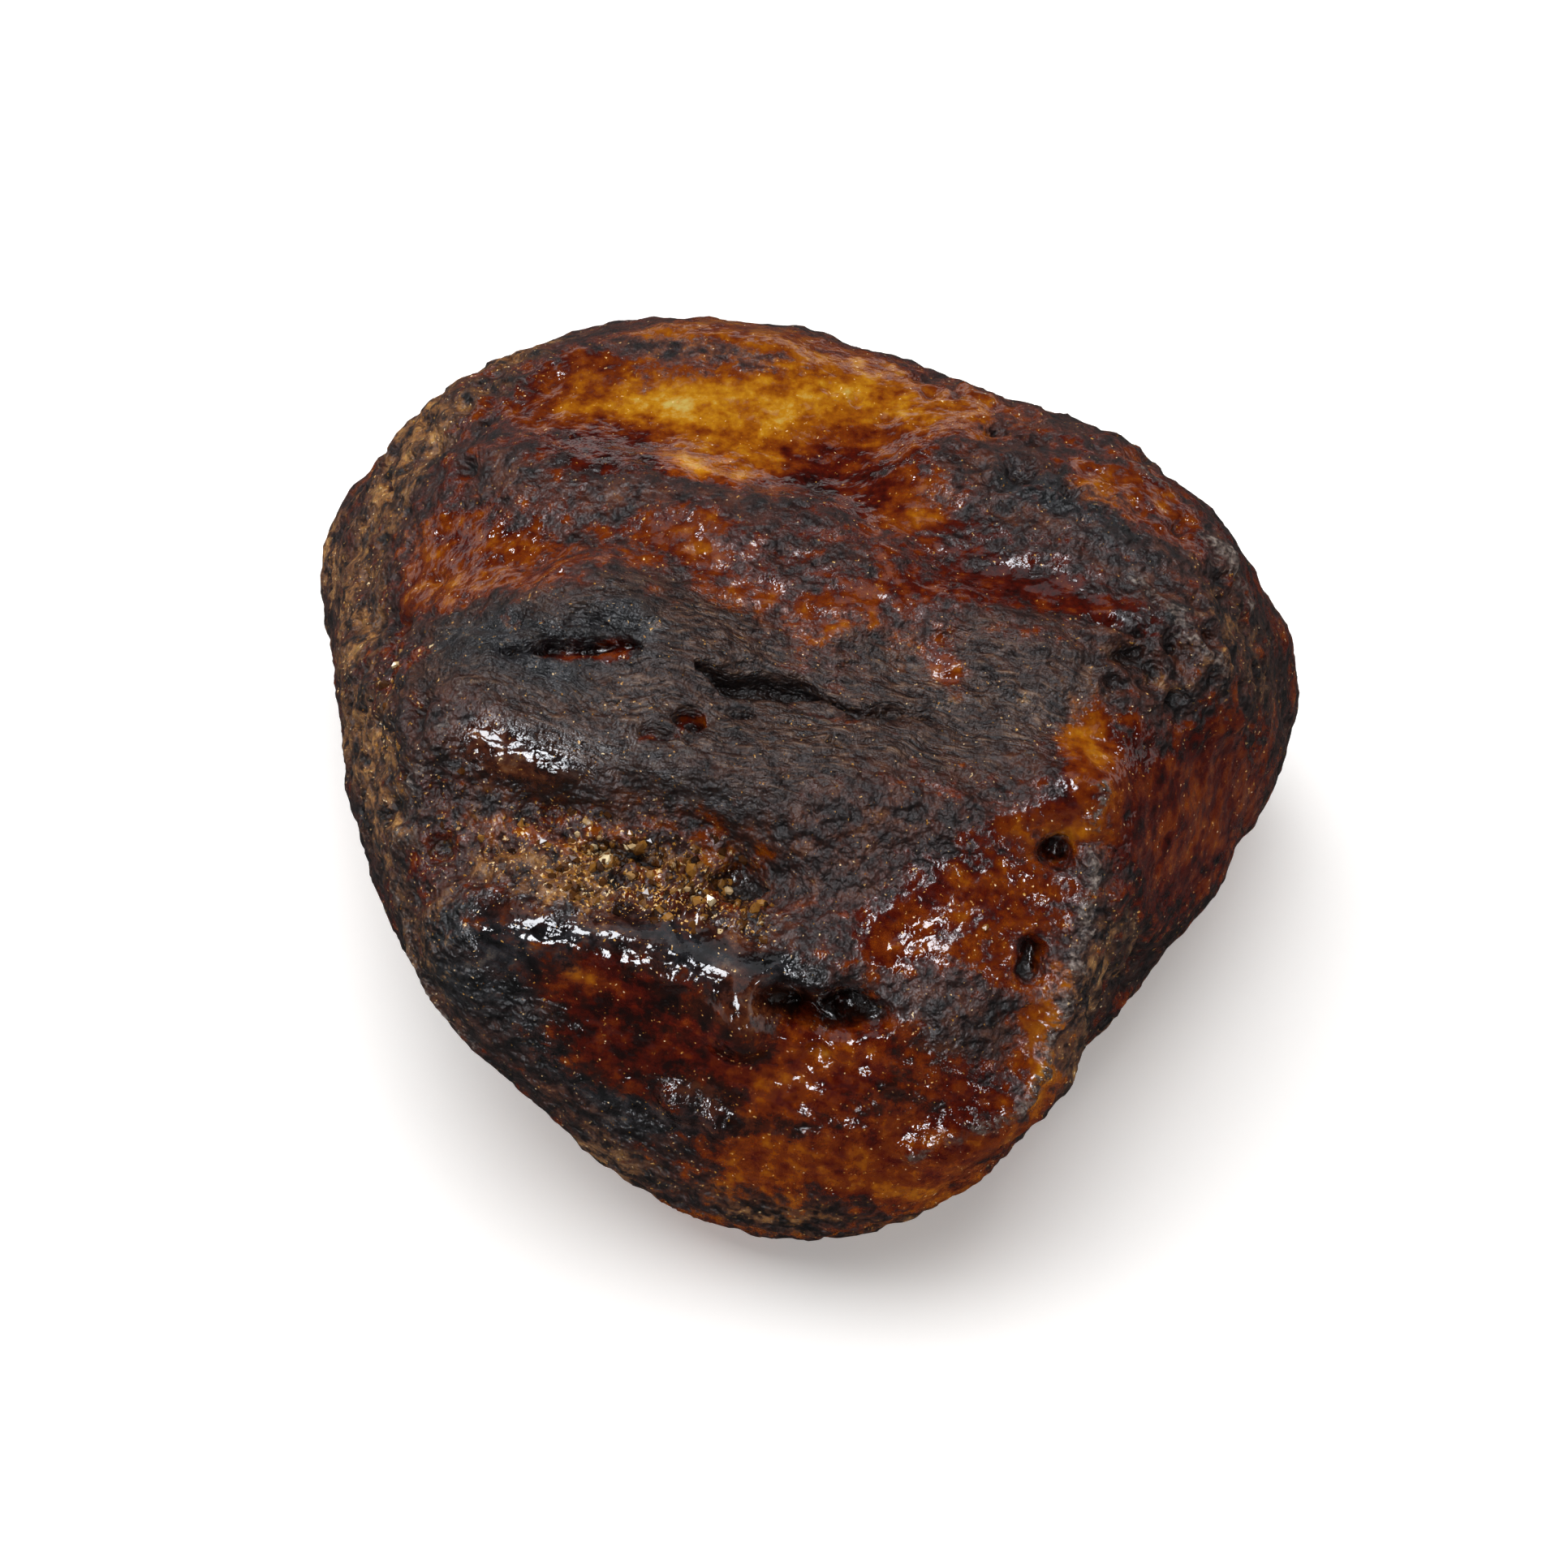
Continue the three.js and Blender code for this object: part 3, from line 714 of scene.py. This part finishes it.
def resin_crumbs(name, shades, roughness):
    """Old resin broken into crystals or lens-shaped cracks. Each has its own shade and glittering faces."""
    material = new_material(name)
    tree = material.node_tree
    shade = add_node(tree, "ShaderNodeAttribute", out="Fac", attribute_name="shade")
    colour = add_node(tree, "ShaderNodeValToRGB", {0: shade}, stops=shades)
    look = {"Base Color": colour, "Roughness": roughness, "IOR": AMBER_IOR}
    shader = add_node(tree, "ShaderNodeBsdfPrincipled", look)
    add_node(tree, "ShaderNodeOutputMaterial", {"Surface": shader})
    return material


# ---------------------------------------------------------------- grains and spangles

GRAINS = 900
GRAIN_RADII = (0.07, 0.36)  # the least, and what is added to it at most, in mm: few of them are large
SPANGLES = 26
SPANGLE_REACH = 1.7  # how far they lie from the middle of the painted glow blotch, in mm
SPANGLE_DEPTHS = (0.5, 1.6)  # in mm under the skin
SPANGLE_RADII = (0.3, 0.7)


def golden_grains(points, normals, gold, chance):
    """Crystalline grains of about 0.1 to 0.9 mm across, half sunk in clumps in the rough golden places."""
    clumps = eased(0.0, 0.3, read(noise.fractal, points / 1.1 + 70, 0.8, 2, 3))
    likely = np.clip(gold - 0.15, 0, 1) ** 2 * (0.03 + clumps)
    chosen = chance.choice(len(points), GRAINS, p=likely / likely.sum())
    least, added = GRAIN_RADII
    radii = least + added * chance.uniform(0, 1, GRAINS) ** 2.5
    sunk = points[chosen] + chance.uniform(-0.1, 0.1, (GRAINS, 3)) - 0.5 * radii[:, None] * normals[chosen]
    grains = crumbs("golden_grains", sunk, radii, 0.7, 1)
    shades = [(0.0, "#1e0e05"), (0.4, "#55300f"), (0.85, "#9a6a2c"), (1.0, "#f0dcae")]
    grains.data.materials.append(resin_crumbs("crystalline_resin", shades, 0.16))
    return grains


def sealed_spangles(points, normals, chance):
    """Bright lens-shaped cracks, sealed in the resin under the painted glow blotch of the big window."""
    middle = from_line(points, HONEY["painted glow blotch"][2])[0]
    chosen = chance.choice(np.flatnonzero(middle < SPANGLE_REACH), SPANGLES)
    depths = chance.uniform(*SPANGLE_DEPTHS, (SPANGLES, 1))
    under = points[chosen] - normals[chosen] * depths
    radii = chance.uniform(*SPANGLE_RADII, SPANGLES)
    spangles = crumbs("sealed_spangles", under, radii, 0.12, 2, normals[chosen])
    spangles.data.materials.append(resin_crumbs("sun_spangles", [(0.0, "#e8b23c"), (1.0, "#fff3c8")], 0.2))
    return spangles


# ---------------------------------------------------------------- stage

VIEW_ELEVATION = math.radians(50)
VIEW_DISTANCE = 323 * MM
FLOOR_WIDTH = 12  # m
AIM = Vector((-1.27, -2.27, 14.04)) * MM
LENS = 144.4  # on a sensor 36 mm wide
COOL_WHITE = (0.92, 0.95, 1.0)
SOFTBOX = ((-0.12, 0.06, 0.86), 0.95, 10.4)  # where it is in m, how wide it is, its watts
CARDS = {  # small white cards that the lump only mirrors
    "front_card": ((-0.17, -0.28, 0.81), 0.22, 3.0),
    "low_middle_card": ((-0.25, -0.75, 0.32), 0.13, 1.3),
    "low_front_card": ((-0.32, -0.54, 0.62), 0.13, 1.1),
    "overhead_card": ((0.0, 0.12, 0.9), 0.55, 0.6),
    "left_card": ((-0.60, 0.30, 0.55), 0.08, 0.9),
    "right_card": ((0.55, 0.35, 0.60), 0.08, 0.6),
    "low_left_card": ((-0.65, -0.45, 0.40), 0.08, 0.7),
    "low_right_card": ((0.60, -0.55, 0.35), 0.08, 0.7),
}


def add_camera():
    data = bpy.data.cameras.new("camera")
    data.lens = LENS
    data.clip_start, data.clip_end = 0.01, 20
    camera = bpy.data.objects.new("camera", data)
    towards = Vector((0, -math.cos(VIEW_ELEVATION), math.sin(VIEW_ELEVATION)))
    camera.location = AIM + VIEW_DISTANCE * towards
    camera.rotation_euler = (math.pi / 2 - VIEW_ELEVATION, 0, 0)
    bpy.context.scene.collection.objects.link(camera)
    bpy.context.scene.camera = camera


def add_lamp(name, place, size, watts, mirrored):
    """A square lamp that faces the lump. It is mirrored in the lump or lights it softly, but never both."""
    data = bpy.data.lights.new(name, "AREA")
    data.shape, data.size, data.energy = "SQUARE", size, watts
    lamp = bpy.data.objects.new(name, data)
    lamp.location = place
    lamp.visible_glossy, lamp.visible_diffuse = mirrored, not mirrored
    data.color = COOL_WHITE if mirrored else (1, 1, 1)
    lamp.rotation_euler = (-Vector(place)).to_track_quat("-Z", "Y").to_euler()
    bpy.context.scene.collection.objects.link(lamp)


def white_ground():
    """Matt white card, softly lit from below. It sends soft light up, but its image in the lump is dim."""
    material = new_material("matt_white_card")
    tree = material.node_tree
    ray = add_node(tree, "ShaderNodeLightPath", out="Is Camera Ray")
    soft = add_node(tree, "ShaderNodeLightPath", out="Is Diffuse Ray")
    lit = add_node(tree, "ShaderNodeMath", {0: ray, 1: soft}, operation="MAXIMUM")
    shades = {0: lit, 6: linear("#454545"), 7: linear("#f4f3f2")}
    colour = add_node(tree, "ShaderNodeMix", shades, out=2, data_type="RGBA")
    glow = add_node(tree, "ShaderNodeMath", {0: lit, 1: 0.3}, operation="MULTIPLY")
    card = {"Base Color": colour, "Roughness": 0.9, "Specular IOR Level": 0.0}
    card |= {"Emission Color": (1.0, 0.96, 0.94, 1.0), "Emission Strength": glow}
    shader = add_node(tree, "ShaderNodeBsdfPrincipled", card)
    add_node(tree, "ShaderNodeOutputMaterial", {"Surface": shader})
    return material


def light_tent():
    """White walls low down at the back and sides, dim above and on the side of the camera."""
    world = bpy.data.worlds.new("light_tent")
    bpy.context.scene.world = world
    world.use_nodes = True
    tree = world.node_tree
    way = add_node(tree, "ShaderNodeTexCoord", out="Generated")
    axes = {axis: add_node(tree, "ShaderNodeSeparateXYZ", {0: way}, out=axis) for axis in "YZ"}
    rise = {"Value": axes["Z"], "From Min": 0.08, "From Max": 0.36, "To Min": 1.0, "To Max": 0.0}
    low = add_node(tree, "ShaderNodeMapRange", rise, interpolation_type="SMOOTHSTEP")
    behind = {"Value": axes["Y"], "From Min": -0.6, "From Max": 0.1, "To Min": 0.1, "To Max": 1.0}
    wall = add_node(tree, "ShaderNodeMapRange", behind, interpolation_type="SMOOTHSTEP")
    wall = add_node(tree, "ShaderNodeMath", {0: low, 1: wall}, operation="MULTIPLY")
    soft = add_node(tree, "ShaderNodeLightPath", out="Is Diffuse Ray")
    dim = add_node(tree, "ShaderNodeMapRange", {"Value": soft, "To Min": 0.05, "To Max": 0.14})
    strength = add_node(tree, "ShaderNodeMath", {0: wall, 1: 0.85, 2: dim}, operation="MULTIPLY_ADD")
    background = tree.nodes["Background"]
    background.inputs["Color"].default_value = (1, 1, 1, 1)
    tree.links.new(strength, background.inputs["Strength"])


def add_stage():
    bpy.ops.mesh.primitive_plane_add(size=FLOOR_WIDTH)
    floor = bpy.context.object
    floor.name = "floor"
    floor.data.materials.append(white_ground())
    add_lamp("top_softbox", *SOFTBOX, mirrored=False)
    for name, card in CARDS.items():
        add_lamp(name, *card, mirrored=True)
    light_tent()
    bpy.context.scene.view_settings.view_transform = "Standard"


# ---------------------------------------------------------------- make it

lump = fine_copy(NODE)
points, normals, gold = carve(lump)
lump.data.materials.append(weathered_amber())
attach(lump, "root")
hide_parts(NODE)

chance = np.random.default_rng(3)
grains = golden_grains(points, normals, gold, chance)
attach(grains, "root")
spangles = sealed_spangles(points, normals, chance)
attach(spangles, "root")
add_camera()
add_stage()
